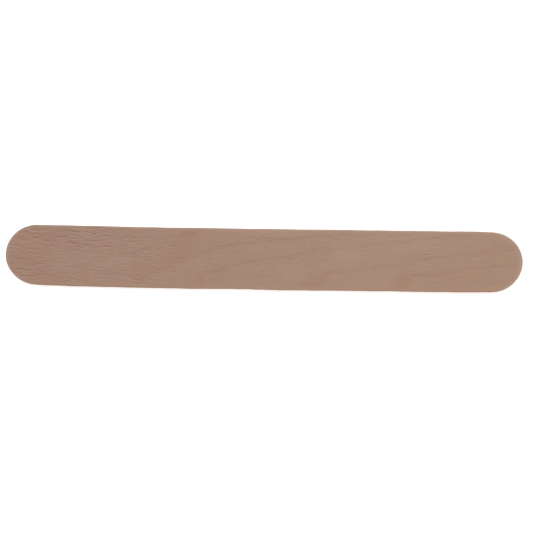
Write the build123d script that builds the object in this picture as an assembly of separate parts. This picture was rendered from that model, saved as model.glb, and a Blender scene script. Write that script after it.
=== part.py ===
# Wooden tongue depressor, the adult size, made in one piece. The blade is die-cut
# from a single sheet of peeled hardwood veneer: two long edges with a full round at
# each end. Tumbling with others of its kind then eases both rims all the way round.
#
# Millimetres. +X runs along the blade, +Y across it and +Z up through its thickness.
# It lies flat, and its origin is the middle of the face that it rests on.

import os

from build123d import *

# Driving dimensions
blade_length = 150.0  # over the two rounded ends
blade_width = 17.6  # square across the blade, from one long edge to the other
blade_thickness = 1.6  # one veneer
edge_crook = 0.25  # how far the veneer's drying has bowed the blade edgewise, at mid length
rim_easing = 0.35  # radius that tumbling leaves on the rims of both faces


def die_cut_outline():
    """The blade seen square on: a slot along a centre line that the crook makes a very flat arc.

    The line ends one end radius short of each tip, so the rounds finish at the stated length.
    """
    end_radius = blade_width / 2
    reach = blade_length / 2 - end_radius
    # The arc's ends sit above the X axis and its middle below it by equal amounts, which
    # centres the outline on the origin.
    rise = edge_crook / 2
    centre_line = SagittaArc((-reach, rise), (reach, rise), -edge_crook)
    return SlotArc(centre_line, height=blade_width)


def tumbled_blade():
    """The veneer blank, with the rims of its upper and lower face rounded over."""
    blank = extrude(die_cut_outline(), amount=blade_thickness)
    faces_by_height = blank.faces().sort_by(Axis.Z)
    lower_face, upper_face = faces_by_height[0], faces_by_height[-1]
    return fillet(lower_face.edges() + upper_face.edges(), radius=rim_easing)


os.makedirs("parts", exist_ok=True)
blade = tumbled_blade()
blade.label = "blade"
export_step(blade, "parts/blade.step")
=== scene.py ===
# Looks of the wooden tongue depressor. One piece of rotary-peeled birch veneer stands
# for the CAD node "blade". Metres, in the part's own frame: X along the blade, Y across
# it, Z up, and the origin in the middle of the face that it lies on.
import math

import bmesh
import bpy
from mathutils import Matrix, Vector


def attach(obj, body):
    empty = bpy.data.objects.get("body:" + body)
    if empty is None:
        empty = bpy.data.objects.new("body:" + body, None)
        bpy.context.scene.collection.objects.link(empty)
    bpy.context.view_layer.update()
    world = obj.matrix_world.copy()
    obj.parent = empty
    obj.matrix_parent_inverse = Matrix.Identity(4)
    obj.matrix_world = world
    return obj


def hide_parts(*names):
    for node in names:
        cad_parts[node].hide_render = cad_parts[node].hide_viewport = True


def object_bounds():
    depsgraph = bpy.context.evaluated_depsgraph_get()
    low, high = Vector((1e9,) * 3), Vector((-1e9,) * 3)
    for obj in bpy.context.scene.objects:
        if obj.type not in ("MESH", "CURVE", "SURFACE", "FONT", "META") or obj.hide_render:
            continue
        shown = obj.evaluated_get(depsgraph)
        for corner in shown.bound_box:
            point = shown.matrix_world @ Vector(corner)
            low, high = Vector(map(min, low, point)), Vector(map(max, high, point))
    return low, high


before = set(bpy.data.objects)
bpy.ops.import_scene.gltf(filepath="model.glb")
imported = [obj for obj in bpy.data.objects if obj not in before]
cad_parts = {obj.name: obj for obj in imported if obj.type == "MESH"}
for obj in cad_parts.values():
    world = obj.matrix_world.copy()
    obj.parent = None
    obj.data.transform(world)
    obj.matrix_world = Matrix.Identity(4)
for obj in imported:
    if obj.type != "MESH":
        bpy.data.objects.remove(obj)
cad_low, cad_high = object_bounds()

MM = 0.001

# The blade, worked out from the CAD box, which hides two of its sizes: its edgewise crook and the
# radius of its rims
edge_crook = 0.25 * MM
rim_radius = 0.35 * MM
blade_length = cad_high.x - cad_low.x
blade_width = cad_high.y - cad_low.y - edge_crook
blade_thickness = cad_high.z - cad_low.z
end_radius = blade_width / 2
reach = blade_length / 2 - end_radius  # from the middle to the centre of either round

# The mesh: how finely the section and the drawn-out blade are divided
touching = 0.001 * MM  # how near counts as touching, in tests of place and for doubles
rim_steps = 5
wall_steps = 4
face_steps = 84  # 0.2 mm apart across the grain
bays = 4
bay_steps = 66  # 0.5 mm apart along the grain
round_steps = 96

# Where the edge strays from the die's line: x, y, how far inwards, and how far around it the wood
# follows, in millimetres. First come four shoulders that run a little tight, then two full tips,
# and then the slight waves of the long edges.
edge_strays = (
    (-71.25, -7.2, 0.30, 9),
    (69.8, 8.04, 0.22, 9),
    (70.4, -7.7, 0.17, 9),
    (-69.5, 8.1, 0.11, 9),
    (-75, 0, -0.03, 10),
    (75, 0, -0.02, 10),
    (-35.7, 8.8, 0.065, 30),
    (22.4, 8.8, -0.075, 30),
    (-63.0, -8.8, 0.08, 10),
    (-21.2, -8.8, -0.045, 10),
    (-6.7, -8.8, 0.08, 10),
    (7.8, -8.8, -0.05, 10),
    (36.9, -8.8, 0.035, 12),
)
stray_grip = 0.8 * MM  # how near the place the edge is taken hold of

# Unevenness: the size of its cells, its height, the share of that which lies below the surface,
# and how many sizes of cell are laid over each other
torn_edge_cell = (5 * MM, 5 * MM, 8 * MM)
torn_edge_height = 0.18 * MM
torn_edge_sunk = 0.32
torn_edge_octaves = 3
raised_grain_cell = (9 * MM, 0.7 * MM, 2 * MM)
raised_grain_height = 0.02 * MM
raised_grain_sunk = 1.0
raised_grain_octaves = 2

# The photograph: its frame, where the middle of the blade is in it, and how it turns there
photo_side_px = 533
blade_length_px = 516.66
blade_middle_px = (264.19, 258.97)
blade_turn = math.radians(0.90)  # clockwise in the picture
lens_mm = 135.0
sensor_mm = 36.0

# Light: an even dome with a soft lamp beyond the upper edge, which together render a colour as it
# is written. Where the camera sees past the floor, it sees plain white.
white = "#FFFFFF"
seen_strength = 1.0
dome_strength = 0.72
lamp_share = 0.30  # of a level surface's light
lamp_height_angle = math.radians(52)
lamp_softness = math.radians(50)

# Floor: its paper glows a little where the camera sees it, so that only the shadow falls below
# white
white_paper = "#F3F3F3"
floor_glow = 0.46
floor_side = 6.0
floor_gap = 0.01 * MM  # under the blade, so that their faces don't coincide


def linear(hex_colour):
    """A linear RGBA colour from an sRGB hex string."""
    values = [int(hex_colour[i:i + 2], 16) / 255 for i in (1, 3, 5)]
    return [v / 12.92 if v <= 0.04045 else ((v + 0.055) / 1.055) ** 2.4 for v in values] + [1.0]


def empty_tree(owner):
    """The node tree of a material or a world, with nothing in it yet."""
    owner.use_nodes = True
    owner.node_tree.nodes.clear()
    return owner.node_tree


def find_input(node, key):
    """A node's input by its number, its identifier or its name."""
    if isinstance(key, int):
        return node.inputs[key]
    return next(socket for socket in node.inputs if key in (socket.identifier, socket.name))


def add_node(tree, kind, inputs=None, **settings):
    """Adds a node, sets what it is told, and links or fills its inputs by name or number."""
    made = tree.nodes.new(kind)
    for name, value in settings.items():
        setattr(made, name, value)
    for socket, value in (inputs or {}).items():
        if isinstance(value, bpy.types.Node):
            value = next(output for output in value.outputs if output.enabled)
        target = find_input(made, socket)
        if isinstance(value, bpy.types.NodeSocket):
            tree.links.new(value, target)
        else:
            target.default_value = value
    return made


# Modelling


def select_edges(piece, belongs):
    """In edit mode, selects just the edges whose two ends together pass the test."""
    bpy.ops.mesh.select_all(action="DESELECT")
    shape = bmesh.from_edit_mesh(piece.data)
    for edge in shape.edges:
        if belongs(*(v.co for v in edge.verts)):
            edge.select_set(True)
    bmesh.update_edit_mesh(piece.data)


def veneer_section():
    """The blade's cross section, upright at the centre of its left round, with eased corners."""
    bpy.ops.object.select_all(action="DESELECT")
    bpy.ops.mesh.primitive_plane_add(
        size=1,
        location=(-reach, 0, blade_thickness / 2),
        rotation=(math.pi / 2, 0, math.pi / 2),
    )
    section = bpy.context.object
    section.scale = (blade_width, blade_thickness, 1)
    bpy.ops.object.transform_apply(location=True, rotation=True, scale=True)
    bpy.ops.object.mode_set(mode="EDIT")
    bpy.ops.mesh.select_mode(type="VERT")
    bpy.ops.mesh.select_all(action="SELECT")
    bpy.ops.mesh.bevel(offset=rim_radius, segments=rim_steps, affect="VERTICES")
    bpy.ops.mesh.select_all(action="SELECT")
    bpy.ops.mesh.delete(type="ONLY_FACE")
    bpy.ops.mesh.select_mode(type="EDGE")
    flat_half = end_radius - rim_radius + touching
    select_edges(section, lambda a, b: abs(a.y) < flat_half and abs(b.y) < flat_half)
    bpy.ops.mesh.subdivide(number_cuts=face_steps - 1)
    middle = blade_thickness / 2
    wall_half = middle - rim_radius + touching
    select_edges(
        section,
        lambda a, b: abs(a.z - middle) < wall_half and abs(b.z - middle) < wall_half,
    )
    bpy.ops.mesh.subdivide(number_cuts=wall_steps - 1)
    return section


def draw_out(section):
    """Draws the section out from one round's centre to the other's, in steps along the grain."""
    bpy.ops.mesh.select_all(action="SELECT")
    one_bay = (2 * reach / bays, 0, 0)
    for _ in range(bays):
        bpy.ops.mesh.extrude_region_move(TRANSFORM_OT_translate={"value": one_bay})
    select_edges(section, lambda a, b: abs(a.x - b.x) > touching)
    bpy.ops.mesh.subdivide(number_cuts=bay_steps - 1)


def spin_round(sleeve, end):
    """Closes one end, -1 left or 1 right, by spinning half the section about its own middle."""
    at_centre = end * reach

    def in_half(at):
        return abs(at.x - at_centre) < touching and at.y * end < touching

    select_edges(sleeve, lambda a, b: in_half(a) and in_half(b))
    # A negative angle turns it anticlockwise, which is out past the end
    bpy.ops.mesh.spin(steps=round_steps, angle=-math.pi, center=(at_centre, 0, 0), axis=(0, 0, 1))


def crook_edgewise(piece):
    """Bends the whole blade in its own plane, and centres it on the origin again."""
    # An arc that bows by the crook, from the centre of one round to that of the other
    arc_angle = 4 * math.atan(edge_crook / reach)
    bend = piece.modifiers.new("edge_crook", "SIMPLE_DEFORM")
    bend.deform_method = "BEND"
    bend.deform_axis = "Z"
    bend.angle = arc_angle * blade_length / (2 * reach)
    bpy.ops.object.modifier_apply(modifier=bend.name)
    heights = [v.co.y for v in piece.data.vertices]
    bpy.ops.object.mode_set(mode="EDIT")
    bpy.ops.mesh.select_all(action="SELECT")
    bpy.ops.transform.translate(value=(0, -(min(heights) + max(heights)) / 2, 0))
    bpy.ops.object.mode_set(mode="OBJECT")


def nudge_edge(piece, x, y, inwards, follow):
    """Moves the edge in or out at one place, and the wood around it less and less. Millimetres."""
    place = Vector((x, y, 0)) * MM
    centre = Vector((max(-reach, min(place.x, reach)), 0, 0))
    bpy.ops.object.mode_set(mode="EDIT")
    select_edges(
        piece,
        lambda a, b: max((at.xy - place.xy).length for at in (a, b)) < stray_grip,
    )
    bpy.ops.transform.translate(
        value=(centre - place).normalized() * inwards * MM,
        use_proportional_edit=True,
        proportional_edit_falloff="SMOOTH",
        proportional_size=follow * MM,
    )
    bpy.ops.object.mode_set(mode="OBJECT")


def group_by_place(piece, name, weight_at):
    """A vertex group whose weights come from each vertex's place."""
    group = piece.vertex_groups.new(name=name)
    for v in piece.data.vertices:
        weight = weight_at(v.co)
        if weight > 0:
            group.add([v.index], weight, "REPLACE")


def distance_in_from_edge(at):
    """How far a place is inside the die-cut outline, before the crook."""
    past_round_centre = max(abs(at.x) - reach, 0)
    return end_radius - math.hypot(past_round_centre, at.y)


def relieve(piece, name, group_name, cell, height, sunk, octaves):
    """Moves the surface in and out by a cloudy noise, as far as the vertex group lets it."""
    clouds = bpy.data.textures.new(name, "CLOUDS")
    clouds.noise_scale = 1
    clouds.noise_depth = octaves
    stretch = bpy.data.objects.new(name + "_cells", None)
    bpy.context.scene.collection.objects.link(stretch)
    stretch.scale = cell
    bpy.context.view_layer.update()
    push = piece.modifiers.new(name, "DISPLACE")
    push.texture = clouds
    push.texture_coords = "OBJECT"
    push.texture_coords_object = stretch
    push.direction = "NORMAL"
    push.mid_level = sunk
    push.strength = height
    push.vertex_group = group_name
    bpy.ops.object.modifier_apply(modifier=push.name)
    bpy.data.objects.remove(stretch)
    bpy.data.textures.remove(clouds)


def model_blade():
    """The whole blade as one closed mesh, at its place on the origin."""
    piece = veneer_section()
    piece.name = "peeled_birch_blade"
    draw_out(piece)
    for end in (-1, 1):
        spin_round(piece, end)
    bpy.ops.mesh.select_all(action="SELECT")
    bpy.ops.mesh.remove_doubles(threshold=touching)
    bpy.ops.mesh.normals_make_consistent(inside=False)
    bpy.ops.object.mode_set(mode="OBJECT")
    group_by_place(piece, "cut_edge", lambda at: 1 - distance_in_from_edge(at) / rim_radius)
    group_by_place(
        piece, "peeled_faces", lambda at: min(distance_in_from_edge(at) / rim_radius - 1, 1)
    )
    crook_edgewise(piece)
    for stray in edge_strays:
        nudge_edge(piece, *stray)
    # Fibres that the die tore or crushed leave the cut edge slightly uneven
    relieve(
        piece,
        "torn_edge",
        "cut_edge",
        torn_edge_cell,
        torn_edge_height,
        torn_edge_sunk,
        torn_edge_octaves,
    )
    # The veneer's fibres stand a little proud in long streaks
    relieve(
        piece,
        "raised_grain",
        "peeled_faces",
        raised_grain_cell,
        raised_grain_height,
        raised_grain_sunk,
        raised_grain_octaves,
    )
    bpy.ops.object.shade_smooth()
    return piece


# Wood

# Patterns are laid out in millimetres, and each noise is given its cells' size along X, Y and Z.
# Cells follow real sizes: birch fibres run 1 to 2 mm long, and a tear runs on over two or three.
# A fibre's 0.03 mm and a pore's 0.1 mm across are too fine to show, so fibres, tears and pores are
# drawn 0.16 to 0.34 mm across.
tip_x = blade_length / MM / 2  # of the right tip

# Growth rings on the upper face, each as a line of late wood drawn from its foot at the lower
# edge, as places (x, y), and how strongly it shows along the way, as (x, share). The last two are
# past the right tip there, and come into the blade further down in the veneer.
growth_rings = (
    (
        ((-54, -9), (-50.5, -2.4), (-45.6, 0), (-35.5, 2.25), (-27.3, 5.2), (-18.2, 8)),
        ((-54, 0.1), (-48, 0.35), (-34, 0.3), (-18.2, 0.35)),
    ),
    (
        ((-38, -9), (-35, -5.9), (-25.5, -1.3), (-19.1, 1), (-7.3, 4.4), (5, 5.7), (28, 8)),
        ((-38, 0.05), (-31, 0.25), (-19, 0.55), (-8, 0.5), (12, 0.55), (28, 0.5)),
    ),
    (
        (
            (-18.4, -9), (-17.6, -5), (-14, -3.7), (-9, -1.7),
            (0, -0.3), (14, 2.1), (30, 4.3), (51, 7),
        ),
        ((-18.4, 0), (-16.5, 0.42), (-8, 0.45), (0, 0.36), (15, 0.36), (27, 0.25), (51, 0.35)),
    ),
    (
        (
            (14, -9), (17.8, -4.1), (25.4, -3.2), (36, -1.3),
            (41.8, 0), (50, 0.9), (58, 2.2), (74, 3.7),
        ),
        (
            (14, 0), (19, 0.25), (26, 0.35), (36, 0.28),
            (44, 0.42), (51, 0.32), (57, 0.42), (74, 0.4),
        ),
    ),
    (
        (
            (41, -9), (42.5, -4.7), (45, -4), (50, -3.8),
            (55.7, -2.3), (60, -1.7), (66.5, -1.2), (75, -0.2),
        ),
        ((41, 0), (43.2, 0.25), (44.5, 0.65), (48.5, 0.62), (51, 0.28), (58, 0.42), (75, 0.4)),
    ),
    (
        ((76, -9), (78, -4.7), (86, -2.7), (97, -0.5), (110, 1.5)),
        ((76, 0), (79, 0.6), (110, 0.4)),
    ),
    (
        ((98, -9), (100, -4.5), (108, -2.5), (120, -0.3)),
        ((98, 0), (101, 0.6), (120, 0.4)),
    ),
)
line_span = 12.0  # how far up and down a ring's line may go
ring_dip = 19.0  # how far a ring's figure moves along for each millimetre down into the veneer
# Across a ring, from below its line to above it: distance, and tone with 0.5 for plain wood
ring_section = (
    (-4.5, 0.5),
    (-1.6, 0.52),
    (-0.75, 0.5),
    (-0.35, 0.3),
    (0, 0.1),
    (0.35, 0.3),
    (0.8, 0.48),
    (3, 0.5),
)
ring_reach = 5.0  # how far a ring's figure goes to either side of its line
plain_tone = 0.5
late_tone = -0.4  # the step from plain wood to where late wood shows in full
early_tone, early_share = 0.04, 0.7  # such a step up, and the share of early wood there
fray_cell = (3.8, 0.45, 0.45)  # where the fibres carry a ring's line up or down
fray_height = 1.8  # from the lowest that they carry it to the highest
fade_cell = (9, 1.4, 1.4)  # stretches over which a ring fades and comes back
fade_least, fade_most = 0.45, 1.3
usual_low, usual_high = 0.35, 0.65  # a noise is nearly always between these

# Soft ovals, each as its middle, half its length and width, how many degrees it is turned, and how
# strong it is. Here they are broad smudges of late wood, and pale places with early wood at the
# surface.
late_wood_smudges = (
    ((-67, 1), (8, 10), 0, 0.25),
    ((-70, 3), (4, 4), 0, 0.25),
    ((-62, -7), (5, 3), 0, 0.3),
    ((-23.2, 4.6), (8.2, 3.8), 52, 0.4),
    ((-21, 7.8), (4, 2), 15, 0.3),
    ((-28, -2), (9.5, 2.6), 27, 0.42),
    ((-36.5, -6.5), (5.5, 3), 35, 0.35),
    ((-52.3, -6.5), (2.6, 4), -10, 0.42),
    ((-18.2, -6.4), (1.3, 3.2), 10, 0.55),
    ((-20.5, -8), (3.5, 2), 0, 0.3),
    ((-12.5, -5), (6, 3.5), 0, 0.22),
    ((14.5, -6.8), (5.5, 3.2), 15, 0.35),
    ((18.2, -4.8), (5, 2.4), 30, 0.3),
    ((40.6, -6.4), (5.5, 4), 35, 0.36),
    ((57, -5), (14, 4), 5, 0.2),
)
early_wood_smudges = (
    ((-45, 0), (11, 11), 0, 0.17),
    ((24.5, 1.5), (6, 4.5), 10, 0.7),
    ((8, -3.5), (6, 3.5), 0, 0.4),
    ((44, 5), (15, 4.5), 8, 0.5),
    ((3, 7.8), (12, 2), 2, 0.7),
)
oval_full_at = 0.7  # how far in it is at full strength, from 0 at its outline to 1 in its middle

# Plain wood from the left end to the right one, by share of the length
plain_wood = ((0, "#9C7B6C"), (0.68, "#A58774"), (1, "#A48671"))
ochre_cloud = "#A08673"
cloud_cell = (6, 4, 4)  # patches a few millimetres wide
cloud_share = 0.5  # at most
early_wood = "#A88A79"
late_wood = "#9E7964"
late_line = "#9A7767"

# Grain direction: fibres fall to the right at the left end, and rise to the right past the turn
grain_turn_x = -24.0
grain_turn_radius = 10.0  # about how far to either side of there the slope changes
grain_mean_slope = -0.008
grain_slope_change = 0.034  # to either side of the mean

# Fibres in long streaks and by themselves, and how rough the knife left them: most at the left
# end, and more or less in some soft ovals
streak_cell = (8, 0.7, 0.7)  # a bundle of fibres
fibre_cell = (2.2, 0.28, 0.28)  # a fibre or two end to end
fibre_contrast = 0.08
fibres_low, fibres_high = 0.6, 1.4  # the two noises added up
rough_from_x, rough_to_x = -60, -12
rough_most, rough_least = 1.1, 0.37
rough_ovals = (
    ((-51, 5.5), (10, 5), 0, 0.65),
    ((-33, 3), (12, 4.5), 0, 0.55),
    ((-55, -3), (12, 5), 0, -0.2),
)

# Torn grain: dashes where a noise passes a level, which drops in some places, along the rings and
# where the wood is rougher
tear_cell = (2.9, 0.28, 0.28)  # two or three fibres long
tear_level = 0.745
tear_place_cell = (14, 5, 5)  # stretches with more tears, or fewer
tear_place_drop = 0.3
tear_late_drop = 0.08
tear_rough_drop = 0.035
tear_ramp = 0.12  # how far past its level a tear is at full strength
# The pits' colour is painted shade. The loose fibres below each tear are painted pale, partly as
# paler broken fibre and partly as a painted highlight on the side that faces the lamp.
torn_pit_shade = "#6C502F"
torn_pit_shade_share = 0.29
lit_loose_fibre = "#C5A093"
lit_loose_fibre_share = 0.22
lit_loose_fibre_offset = 0.4  # from its tear, towards the lower edge

# Short flecks of torn grain, sparse all over and closer together in clusters, which are soft ovals
fleck_cell = (1.5, 0.34, 0.34)  # one fibre long
fleck_level = 0.695
fleck_cluster_drop = 0.065
fleck_ramp = 0.05
fleck_strength = 0.75
fleck_clusters = (
    ((12, 6), (22, 4.5), 3, 1),
    ((-5, 4), (12, 3.5), 8, 0.7),
    ((12, 0), (9, 4), 5, 0.9),
    ((46, 0.5), (13, 3), 8, 0.9),
    ((50, 7), (14, 3), 0, 0.9),
    ((0, -4), (16, 4), 0, 0.5),
    ((-13, 0), (8, 6), 0, 0.5),
)

# Burnished rims: how far in they reach, wider at the right end, and weaker over the left third
burnish_full_inset = 0.3
burnish_width, burnish_width_right = 1.2, 2.6
burnish_widens_x = 64
burnish_weak_x, burnish_strong_x = -25, 0
burnish_weak, burnish_strong = 0.4, 1.0
# Painted light and shade on the burnished rims: lighter along the upper edge, darker and warmer
# along the lower one, changing over this far to either side of the middle
lit_upper_rim = "#A98976"
shaded_lower_rim = "#A7846F"
rim_light_change_y = 5

# Where the die cuts across the fibres, round the ends, it crushes them and leaves a greyer rim
crushed_rim = "#A98F7F"
crushed_width, crushed_full = 1.2, 0.4  # in from the edge
crushed_from, crushed_all = 0, 4  # past the centre of a round

# The die-cut wall: scores through its thickness, and open pores where it cuts the fibres off. It
# is told from the faces by how far the surface faces up or down, which is from 0 to 1.
wall_up, face_up = 0.65, 0.9
score_cell = (0.22, 0.22, 2.5)  # longer than the veneer is thick
score_share = 0.25
pore_cell = (0.8, 0.16, 0.16)  # one pore
pore_low, pore_high = 0.52, 0.68
pore_share = 0.45
pores_from, pores_full = 2, 7  # past the centre of a round
wall_mark = "#6B4E3C"
# Along the lower edge, the wall is painted warmer, as a painted glow of light that has passed
# through the thin wood
painted_wall_glow = "#B5875A"
wall_glow_share = 0.8

# Relief, in steps of a fiftieth of a millimetre, and gloss
relief_step = 0.02 * MM
relief_strength = 1.0
pit_depth = 1.2
wall_mark_depth = 3.0
bare_roughness = 0.72
burnished_roughness = 0.52
wood_specular = 0.25  # bare wood has little sheen


def blade_places(tree):
    """Object coordinates in millimetres, along X, Y and Z."""
    coordinates = add_node(tree, "ShaderNodeTexCoord")
    place = add_node(
        tree,
        "ShaderNodeVectorMath",
        {0: coordinates.outputs["Object"], "Scale": 1 / MM},
        operation="SCALE",
    )
    axes = add_node(tree, "ShaderNodeSeparateXYZ", {0: place})
    return axes.outputs["X"], axes.outputs["Y"], axes.outputs["Z"]


def along_the_grain(tree, x, y, z):
    """The same places with Y measured from the fibre that passes through the middle."""
    past_turn = add_node(tree, "ShaderNodeMath", {0: x, 1: grain_turn_x}, operation="SUBTRACT")
    squared = add_node(
        tree,
        "ShaderNodeMath",
        {0: past_turn, 1: past_turn, 2: grain_turn_radius ** 2},
        operation="MULTIPLY_ADD",
    )
    rounded = add_node(tree, "ShaderNodeMath", {0: squared}, operation="SQRT")
    steady = add_node(
        tree, "ShaderNodeMath", {0: past_turn, 1: grain_mean_slope}, operation="MULTIPLY"
    )
    rise = add_node(
        tree,
        "ShaderNodeMath",
        {0: rounded, 1: grain_slope_change, 2: steady},
        operation="MULTIPLY_ADD",
    )
    across = add_node(tree, "ShaderNodeMath", {0: y, 1: rise}, operation="SUBTRACT")
    return add_node(tree, "ShaderNodeCombineXYZ", {0: x, 1: across, 2: z})


def cloudy(tree, place, cell, seed, detail=2):
    """Noise from 0 to 1, in cells of that size."""
    scaled = add_node(
        tree,
        "ShaderNodeMapping",
        {"Vector": place, "Scale": [1 / side for side in cell], "Location": (seed, seed, seed)},
    )
    return add_node(
        tree, "ShaderNodeTexNoise", {"Vector": scaled, "Scale": 1, "Detail": detail}
    )


def drawn_curve(tree, along, points, span, extend):
    """A value between -span and span that follows a curve drawn through the points."""
    start, stop = points[0][0], points[-1][0]
    share = add_node(
        tree,
        "ShaderNodeMapRange",
        {"Value": along, "From Min": start, "From Max": stop},
        clamp=False,
    )
    line = add_node(tree, "ShaderNodeFloatCurve", {"Value": share})
    curve = line.mapping.curves[0]
    # The node draws its curve in a square from 0 to 1
    places = [((at - start) / (stop - start), (value / span + 1) / 2) for at, value in points]
    curve.points[0].location = places[0]
    curve.points[1].location = places[-1]
    for place in places[1:-1]:
        curve.points.new(*place)
    line.mapping.extend = extend
    line.mapping.update()
    return add_node(
        tree, "ShaderNodeMath", {0: line, 1: 2 * span, 2: -span}, operation="MULTIPLY_ADD"
    )


def growth_ring(tree, along, across, line_points, strength_points):
    """One ring's tone: 0 in plain wood, below 0 in late wood and a little above 0 beside that."""
    line = drawn_curve(tree, along, line_points, line_span, "EXTRAPOLATED")
    above = add_node(tree, "ShaderNodeMath", {0: across, 1: line}, operation="SUBTRACT")
    section_place = add_node(
        tree,
        "ShaderNodeMapRange",
        {"Value": above, "From Min": -ring_reach, "From Max": ring_reach},
    )
    section = add_node(tree, "ShaderNodeValToRGB", {0: section_place})
    stops = section.color_ramp.elements
    for end in stops:
        end.color = (plain_tone, plain_tone, plain_tone, 1)
    for distance, tone in ring_section:
        stop = stops.new((distance / ring_reach + 1) / 2)
        stop.color = (tone, tone, tone, 1)
    signed = add_node(tree, "ShaderNodeMath", {0: section, 1: plain_tone}, operation="SUBTRACT")
    strength = drawn_curve(tree, along, strength_points, 1, "HORIZONTAL")
    return add_node(tree, "ShaderNodeMath", {0: signed, 1: strength}, operation="MULTIPLY")


def soft_oval(tree, flat_place, middle, half_size, turn_degrees, share):
    """That share in the middle of an oval, fading to 0 at its outline."""
    mapped = add_node(
        tree,
        "ShaderNodeMapping",
        {
            "Vector": flat_place,
            "Location": (*middle, 0),
            "Rotation": (0, 0, math.radians(turn_degrees)),
            "Scale": (*half_size, 1),
        },
        vector_type="TEXTURE",
    )
    fade = add_node(tree, "ShaderNodeTexGradient", {0: mapped}, gradient_type="SPHERICAL")
    return add_node(
        tree,
        "ShaderNodeMapRange",
        {"Value": fade, "From Max": oval_full_at, "To Max": share},
        interpolation_type="SMOOTHSTEP",
    )


def added_up(tree, shares):
    """The sum of a list of values."""
    total = shares[0]
    for share in shares[1:]:
        total = add_node(tree, "ShaderNodeMath", {0: total, 1: share}, operation="ADD")
    return total


def soft_ovals(tree, flat_place, ovals):
    """What several soft ovals add up to."""
    return added_up(tree, [soft_oval(tree, flat_place, *oval) for oval in ovals])


def ring_figure(tree, x, y, z, fibre_place):
    """Shares of late wood in lines, of late wood in smudges and of early wood.

    The whole figure moves to the left on its way down through the veneer.
    """
    depth = add_node(
        tree, "ShaderNodeMath", {0: blade_thickness / MM, 1: z}, operation="SUBTRACT"
    )
    along = add_node(
        tree, "ShaderNodeMath", {0: depth, 1: ring_dip, 2: x}, operation="MULTIPLY_ADD"
    )
    frayed = add_node(
        tree,
        "ShaderNodeMapRange",
        {
            "Value": cloudy(tree, fibre_place, fray_cell, seed=7),
            "To Min": -fray_height / 2,
            "To Max": fray_height / 2,
        },
    )
    across = add_node(tree, "ShaderNodeMath", {0: y, 1: frayed}, operation="ADD")
    fading = add_node(
        tree,
        "ShaderNodeMapRange",
        {
            "Value": cloudy(tree, fibre_place, fade_cell, seed=13),
            "From Min": usual_low,
            "From Max": usual_high,
            "To Min": fade_least,
            "To Max": fade_most,
        },
    )
    full_tone = added_up(tree, [growth_ring(tree, along, across, *ring) for ring in growth_rings])
    tone = add_node(tree, "ShaderNodeMath", {0: full_tone, 1: fading}, operation="MULTIPLY")
    lines = add_node(
        tree, "ShaderNodeMapRange", {"Value": tone, "From Min": 0, "From Max": late_tone}
    )
    early_lines = add_node(
        tree,
        "ShaderNodeMapRange",
        {"Value": tone, "From Min": 0, "From Max": early_tone, "To Max": early_share},
    )
    flat_place = add_node(tree, "ShaderNodeCombineXYZ", {0: along, 1: across})
    late_ovals = soft_ovals(tree, flat_place, late_wood_smudges)
    late_smudges = add_node(
        tree, "ShaderNodeMath", {0: late_ovals, 1: fading}, operation="MULTIPLY", use_clamp=True
    )
    early_ovals = soft_ovals(tree, flat_place, early_wood_smudges)
    early = add_node(
        tree, "ShaderNodeMath", {0: early_lines, 1: early_ovals}, operation="ADD", use_clamp=True
    )
    return lines, late_smudges, early


def inset_from_outline(tree, x, y):
    """How far a place is inside the die-cut outline, and how far along past a round's centre."""
    reach_mm = reach / MM
    crook_mm = edge_crook / MM
    from_middle = add_node(tree, "ShaderNodeMath", {0: x}, operation="ABSOLUTE")
    beyond = add_node(tree, "ShaderNodeMath", {0: from_middle, 1: reach_mm}, operation="SUBTRACT")
    past_centre = add_node(tree, "ShaderNodeMath", {0: beyond, 1: 0}, operation="MAXIMUM")
    # The centre line's arc is so flat that a parabola stands for it
    squared = add_node(tree, "ShaderNodeMath", {0: x, 1: x}, operation="MULTIPLY")
    centre_line = add_node(
        tree,
        "ShaderNodeMath",
        {0: squared, 1: crook_mm / reach_mm ** 2, 2: -crook_mm / 2},
        operation="MULTIPLY_ADD",
    )
    off_line = add_node(tree, "ShaderNodeMath", {0: y, 1: centre_line}, operation="SUBTRACT")
    outwards = add_node(tree, "ShaderNodeCombineXYZ", {0: past_centre, 1: off_line})
    distance = add_node(tree, "ShaderNodeVectorMath", {0: outwards}, operation="LENGTH")
    inset = add_node(
        tree, "ShaderNodeMath", {0: end_radius / MM, 1: distance}, operation="SUBTRACT"
    )
    return inset, past_centre


def plain_colour(tree, x, place):
    """Wood between the rings: pinker at the left end, with soft ochre clouds all along."""
    lengthwise = add_node(
        tree, "ShaderNodeMapRange", {"Value": x, "From Min": -tip_x, "From Max": tip_x}
    )
    ramp = add_node(tree, "ShaderNodeValToRGB", {0: lengthwise})
    stops = ramp.color_ramp.elements
    stops[0].color = linear(plain_wood[0][1])
    stops[1].color = linear(plain_wood[-1][1])
    for share, colour in plain_wood[1:-1]:
        stops.new(share).color = linear(colour)
    clouds = add_node(
        tree,
        "ShaderNodeMapRange",
        {
            "Value": cloudy(tree, place, cloud_cell, seed=5),
            "From Min": usual_low,
            "From Max": usual_high,
            "To Max": cloud_share,
        },
    )
    return laid_over(tree, ramp, [(clouds, linear(ochre_cloud))])


def laid_over(tree, colour, layers):
    """A colour with others laid over it in turn, each given as its share and the colour itself."""
    for share, over in layers:
        colour = add_node(
            tree,
            "ShaderNodeMix",
            {"Factor_Float": share, "A_Color": colour, "B_Color": over},
            data_type="RGBA",
        )
    return colour


def knife_roughness(tree, x, flat_place):
    """How rough the knife left the wood, and how much of that the ovals add."""
    by_length = add_node(
        tree,
        "ShaderNodeMapRange",
        {
            "Value": x,
            "From Min": rough_from_x,
            "From Max": rough_to_x,
            "To Min": rough_most,
            "To Max": rough_least,
        },
        interpolation_type="SMOOTHSTEP",
    )
    by_ovals = soft_ovals(tree, flat_place, rough_ovals)
    return added_up(tree, [by_length, by_ovals]), by_ovals


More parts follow.
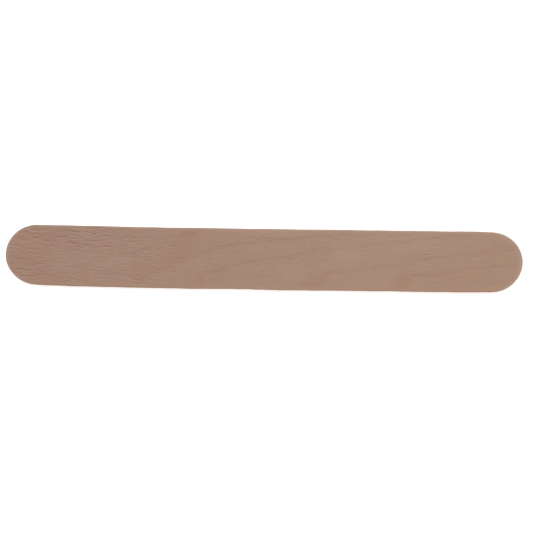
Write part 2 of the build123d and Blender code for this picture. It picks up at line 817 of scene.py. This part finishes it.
def fibre_brightness(tree, fibres, rough):
    """A factor around 1 for the light and dark of the fibres, which show more in rougher wood."""
    uneven = add_node(
        tree,
        "ShaderNodeMapRange",
        {
            "Value": fibres,
            "From Min": fibres_low,
            "From Max": fibres_high,
            "To Min": -fibre_contrast,
            "To Max": fibre_contrast,
        },
    )
    return add_node(
        tree, "ShaderNodeMath", {0: uneven, 1: rough, 2: 1}, operation="MULTIPLY_ADD"
    )


def tear_level_by_place(tree, place, lines, rougher):
    """The level that the noise must pass for a tear."""
    places = cloudy(tree, place, tear_place_cell, seed=29, detail=1)
    by_place = add_node(
        tree,
        "ShaderNodeMath",
        {0: places, 1: -tear_place_drop, 2: tear_level},
        operation="MULTIPLY_ADD",
    )
    by_ring = add_node(
        tree,
        "ShaderNodeMath",
        {0: lines, 1: -tear_late_drop, 2: by_place},
        operation="MULTIPLY_ADD",
    )
    return add_node(
        tree,
        "ShaderNodeMath",
        {0: rougher, 1: -tear_rough_drop, 2: by_ring},
        operation="MULTIPLY_ADD",
    )


def fleck_level_by_place(tree, flat_place):
    """The level that the noise must pass for a fleck."""
    clusters = soft_ovals(tree, flat_place, fleck_clusters)
    return add_node(
        tree,
        "ShaderNodeMath",
        {0: clusters, 1: -fleck_cluster_drop, 2: fleck_level},
        operation="MULTIPLY_ADD",
    )


def torn_dashes(tree, fibre_place, cell, level, ramp, aside):
    """Dashes along the grain where a noise passes the level, all moved aside across the grain."""
    moved = add_node(
        tree, "ShaderNodeVectorMath", {0: fibre_place, 1: (0, aside, 0)}, operation="ADD"
    )
    torn = cloudy(tree, moved, cell, seed=23, detail=1)
    over = add_node(tree, "ShaderNodeMath", {0: torn, 1: level}, operation="SUBTRACT")
    return add_node(tree, "ShaderNodeMapRange", {"Value": over, "From Min": 0, "From Max": ramp})


def torn_grain(tree, fibre_place, tear_level_here, fleck_level_here, rough, aside):
    """How torn the grain is: long tears, as strong as the wood is rough, and short flecks."""
    tears = torn_dashes(tree, fibre_place, tear_cell, tear_level_here, tear_ramp, aside)
    flecks = torn_dashes(tree, fibre_place, fleck_cell, fleck_level_here, fleck_ramp, aside)
    rough_tears = add_node(tree, "ShaderNodeMath", {0: tears, 1: rough}, operation="MULTIPLY")
    return add_node(
        tree,
        "ShaderNodeMath",
        {0: flecks, 1: fleck_strength, 2: rough_tears},
        operation="MULTIPLY_ADD",
    )


def pits_and_lit_loose_fibres(tree, place, flat_place, fibre_place, lines, rough, rougher):
    """How torn the grain is at each place, and how torn it is just above there."""
    tear_level_here = tear_level_by_place(tree, place, lines, rougher)
    fleck_level_here = fleck_level_by_place(tree, flat_place)
    return [
        torn_grain(tree, fibre_place, tear_level_here, fleck_level_here, rough, aside)
        for aside in (0, lit_loose_fibre_offset)
    ]


def burnish_by_place(tree, x, inset):
    """How burnished the wood is, from 0 inside the rims to 1 at the edge."""
    width = add_node(
        tree,
        "ShaderNodeMapRange",
        {
            "Value": x,
            "From Min": burnish_widens_x,
            "From Max": tip_x,
            "To Min": burnish_width,
            "To Max": burnish_width_right,
        },
    )
    towards_edge = add_node(
        tree,
        "ShaderNodeMapRange",
        {"Value": inset, "From Min": width, "From Max": burnish_full_inset},
        interpolation_type="SMOOTHSTEP",
    )
    strength = add_node(
        tree,
        "ShaderNodeMapRange",
        {
            "Value": x,
            "From Min": burnish_weak_x,
            "From Max": burnish_strong_x,
            "To Min": burnish_weak,
            "To Max": burnish_strong,
        },
    )
    return add_node(tree, "ShaderNodeMath", {0: towards_edge, 1: strength}, operation="MULTIPLY")


def crushed_by_place(tree, inset, past_centre, burnish):
    """How crushed the rim is, which is only round the ends and where it's burnished."""
    towards_edge = add_node(
        tree,
        "ShaderNodeMapRange",
        {"Value": inset, "From Min": crushed_width, "From Max": crushed_full},
        interpolation_type="SMOOTHSTEP",
    )
    at_ends = add_node(
        tree,
        "ShaderNodeMapRange",
        {"Value": past_centre, "From Min": crushed_from, "From Max": crushed_all},
    )
    share = add_node(tree, "ShaderNodeMath", {0: towards_edge, 1: at_ends}, operation="MULTIPLY")
    return add_node(tree, "ShaderNodeMath", {0: share, 1: burnish}, operation="MULTIPLY")


def cut_wall(tree):
    """1 on the die-cut wall and 0 on the faces, changing over where the rims turn down."""
    coordinates = add_node(tree, "ShaderNodeTexCoord")
    facing = add_node(tree, "ShaderNodeSeparateXYZ", {0: coordinates.outputs["Normal"]})
    up_or_down = add_node(tree, "ShaderNodeMath", {0: facing.outputs["Z"]}, operation="ABSOLUTE")
    return add_node(
        tree,
        "ShaderNodeMapRange",
        {"Value": up_or_down, "From Min": face_up, "From Max": wall_up},
    )


def wall_marks(tree, place, past_centre, wall):
    """How dark the die's scores and the open pores make the cut wall."""
    scores = add_node(
        tree,
        "ShaderNodeMapRange",
        {
            "Value": cloudy(tree, place, score_cell, seed=31, detail=3),
            "From Min": usual_high,
            "From Max": usual_low,
            "To Max": score_share,
        },
    )
    pores = add_node(
        tree,
        "ShaderNodeMapRange",
        {
            "Value": cloudy(tree, place, pore_cell, seed=37, detail=1),
            "From Min": pore_low,
            "From Max": pore_high,
            "To Max": pore_share,
        },
    )
    end_on = add_node(
        tree,
        "ShaderNodeMapRange",
        {"Value": past_centre, "From Min": pores_from, "From Max": pores_full},
    )
    open_pores = add_node(tree, "ShaderNodeMath", {0: pores, 1: end_on}, operation="MULTIPLY")
    marks = add_node(tree, "ShaderNodeMath", {0: scores, 1: open_pores}, operation="ADD")
    return add_node(tree, "ShaderNodeMath", {0: marks, 1: wall}, operation="MULTIPLY")


def wood_relief(tree, fibres, rough, pits, marks):
    """Fibres that stand proud where the wood is rough, with pits and the wall's marks let in."""
    fibre_relief = add_node(tree, "ShaderNodeMath", {0: fibres, 1: rough}, operation="MULTIPLY")
    with_pits = add_node(
        tree,
        "ShaderNodeMath",
        {0: pits, 1: -pit_depth, 2: fibre_relief},
        operation="MULTIPLY_ADD",
    )
    height = add_node(
        tree,
        "ShaderNodeMath",
        {0: marks, 1: -wall_mark_depth, 2: with_pits},
        operation="MULTIPLY_ADD",
    )
    return add_node(
        tree,
        "ShaderNodeBump",
        {"Height": height, "Distance": relief_step, "Strength": relief_strength},
    )


def peeled_birch():
    """Birch, rotary-peeled into veneer, die-cut and tumbled, with no finish on it.

    To the eye: a matt pinkish tan, with faint late-wood arches that open to the right, short fine
    dashes where the knife tore the grain, with painted shade in them and a painted highlight
    below, and eased rims that tumbling has burnished, with painted light on the upper rim and
    painted shade and a painted warm glow along the lower edge.
    """
    material = bpy.data.materials.new("birch_veneer_peeled")
    tree = empty_tree(material)
    x, y, z = blade_places(tree)
    place = add_node(tree, "ShaderNodeCombineXYZ", {0: x, 1: y, 2: z})
    flat_place = add_node(tree, "ShaderNodeCombineXYZ", {0: x, 1: y})
    fibre_place = along_the_grain(tree, x, y, z)
    inset, past_centre = inset_from_outline(tree, x, y)

    # Growth rings, over plain wood
    lines, smudges, early = ring_figure(tree, x, y, z, fibre_place)
    ringed = laid_over(
        tree,
        plain_colour(tree, x, place),
        [
            (early, linear(early_wood)),
            (smudges, linear(late_wood)),
            (lines, linear(late_line)),
        ],
    )

    # Fibres: long soft streaks and short fine ones, whose contrast follows the roughness
    rough, rougher = knife_roughness(tree, x, flat_place)
    streaks = cloudy(tree, fibre_place, streak_cell, seed=11)
    short_fibres = cloudy(tree, fibre_place, fibre_cell, seed=17)
    fibres = added_up(tree, [streaks, short_fibres])
    brightness = fibre_brightness(tree, fibres, rough)
    grained = add_node(tree, "ShaderNodeHueSaturation", {"Color": ringed, "Value": brightness})

    # Torn grain: each tear is a small pit darkened by painted shade, with loose fibres below it
    # painted pale, partly as paler broken fibre and partly as a painted highlight
    pits, lit_loose_fibres = pits_and_lit_loose_fibres(
        tree, place, flat_place, fibre_place, lines, rough, rougher
    )
    pit_shade_share = add_node(
        tree, "ShaderNodeMath", {0: pits, 1: torn_pit_shade_share}, operation="MULTIPLY"
    )
    loose_share = add_node(
        tree, "ShaderNodeMath", {0: lit_loose_fibres, 1: lit_loose_fibre_share}, operation="MULTIPLY"
    )

    # Rims, burnished all round and crushed round the ends, with painted light on the upper rim and
    # painted shade on the lower one
    burnish = burnish_by_place(tree, x, inset)
    crushed = crushed_by_place(tree, inset, past_centre, burnish)
    towards_shaded_edge = add_node(
        tree,
        "ShaderNodeMapRange",
        {"Value": y, "From Min": rim_light_change_y, "From Max": -rim_light_change_y},
    )
    burnished_rim_lit_and_shaded = laid_over(tree, linear(lit_upper_rim), [(towards_shaded_edge, linear(shaded_lower_rim))])

    # The die-cut wall, with a painted warm glow along the lower edge, and marked by the die
    wall = cut_wall(tree)
    lower_wall_glow = add_node(
        tree, "ShaderNodeMath", {0: wall, 1: towards_shaded_edge}, operation="MULTIPLY"
    )
    wall_glow_mix = add_node(
        tree, "ShaderNodeMath", {0: lower_wall_glow, 1: wall_glow_share}, operation="MULTIPLY"
    )
    marks = wall_marks(tree, place, past_centre, wall)

    coloured = laid_over(
        tree,
        grained,
        [
            (pit_shade_share, linear(torn_pit_shade)),
            (loose_share, linear(lit_loose_fibre)),
            (burnish, burnished_rim_lit_and_shaded),
            (crushed, linear(crushed_rim)),
            (wall_glow_mix, linear(painted_wall_glow)),
            (marks, linear(wall_mark)),
        ],
    )

    roughness = add_node(
        tree,
        "ShaderNodeMapRange",
        {"Value": burnish, "To Min": bare_roughness, "To Max": burnished_roughness},
    )
    surface = add_node(
        tree,
        "ShaderNodeBsdfPrincipled",
        {
            "Base Color": coloured,
            "Normal": wood_relief(tree, fibres, rough, pits, marks),
            "Roughness": roughness,
            "Specular IOR Level": wood_specular,
        },
    )
    add_node(tree, "ShaderNodeOutputMaterial", {0: surface})
    return material


# Studio


def share_seen(tree):
    """1 for the rays that show the stage: the camera's, and mirrored or refracted ones."""
    path = add_node(tree, "ShaderNodeLightPath")
    seen = add_node(
        tree,
        "ShaderNodeMath",
        {0: path.outputs["Is Camera Ray"], 1: path.outputs["Is Glossy Ray"]},
        operation="ADD",
    )
    return add_node(
        tree,
        "ShaderNodeMath",
        {0: seen, 1: path.outputs["Is Transmission Ray"]},
        operation="ADD",
        use_clamp=True,
    )


def set_up_floor():
    """A floor of matt white paper. To the eye: plain white, with only the blade's shadow on it."""
    bpy.ops.object.select_all(action="DESELECT")
    bpy.ops.mesh.primitive_plane_add(size=floor_side, location=(0, 0, -floor_gap))
    floor = bpy.context.object
    floor.name = "white_floor"
    material = bpy.data.materials.new("matt_white_paper")
    tree = empty_tree(material)
    seen = share_seen(tree)
    paper = add_node(tree, "ShaderNodeBsdfDiffuse", {"Color": linear(white_paper)})
    strength = add_node(tree, "ShaderNodeMath", {0: seen, 1: floor_glow}, operation="MULTIPLY")
    glow = add_node(tree, "ShaderNodeEmission", {"Color": linear(white), "Strength": strength})
    surface = add_node(tree, "ShaderNodeAddShader", {0: paper, 1: glow})
    add_node(tree, "ShaderNodeOutputMaterial", {0: surface})
    floor.data.materials.append(material)


def set_up_light():
    """The even dome, and the lamp that leans in over the blade's upper edge."""
    world = bpy.data.worlds.new("white_dome")
    bpy.context.scene.world = world
    tree = empty_tree(world)
    seen = share_seen(tree)
    strength = add_node(
        tree,
        "ShaderNodeMapRange",
        {"Value": seen, "To Min": dome_strength, "To Max": seen_strength},
    )
    background = add_node(
        tree, "ShaderNodeBackground", {"Color": linear(white), "Strength": strength}
    )
    add_node(tree, "ShaderNodeOutputWorld", {0: background})

    lamp = bpy.data.lights.new("soft_lamp", "SUN")
    lamp.angle = lamp_softness
    lamp.energy = lamp_share * math.pi / math.sin(lamp_height_angle)
    holder = bpy.data.objects.new("soft_lamp", lamp)
    holder.rotation_euler = (lamp_height_angle - math.pi / 2, 0, 0)
    bpy.context.scene.collection.objects.link(holder)


def set_up_camera():
    """Straight above the blade, turned and moved so that it lies in the frame as photographed."""
    camera = bpy.data.cameras.new("overhead")
    camera.lens = lens_mm
    camera.sensor_width = sensor_mm
    pixel = blade_length / blade_length_px
    frame_width = photo_side_px * pixel
    outline_height = blade_thickness - rim_radius  # of the outline that shows from above
    right = Vector((math.cos(blade_turn), math.sin(blade_turn), 0))
    up = Vector((-math.sin(blade_turn), math.cos(blade_turn), 0))
    middle_px = photo_side_px / 2
    right_px = middle_px - blade_middle_px[0]
    up_px = blade_middle_px[1] - middle_px
    aim = right * right_px * pixel + up * up_px * pixel
    holder = bpy.data.objects.new("overhead", camera)
    holder.location = (aim.x, aim.y, outline_height + frame_width * lens_mm / sensor_mm)
    holder.rotation_euler = (0, 0, blade_turn)
    bpy.context.scene.collection.objects.link(holder)
    bpy.context.scene.camera = holder


blade = model_blade()
blade.data.materials.append(peeled_birch())
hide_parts("blade")
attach(blade, "root")
set_up_floor()
set_up_light()
set_up_camera()
bpy.context.scene.view_settings.view_transform = "Standard"
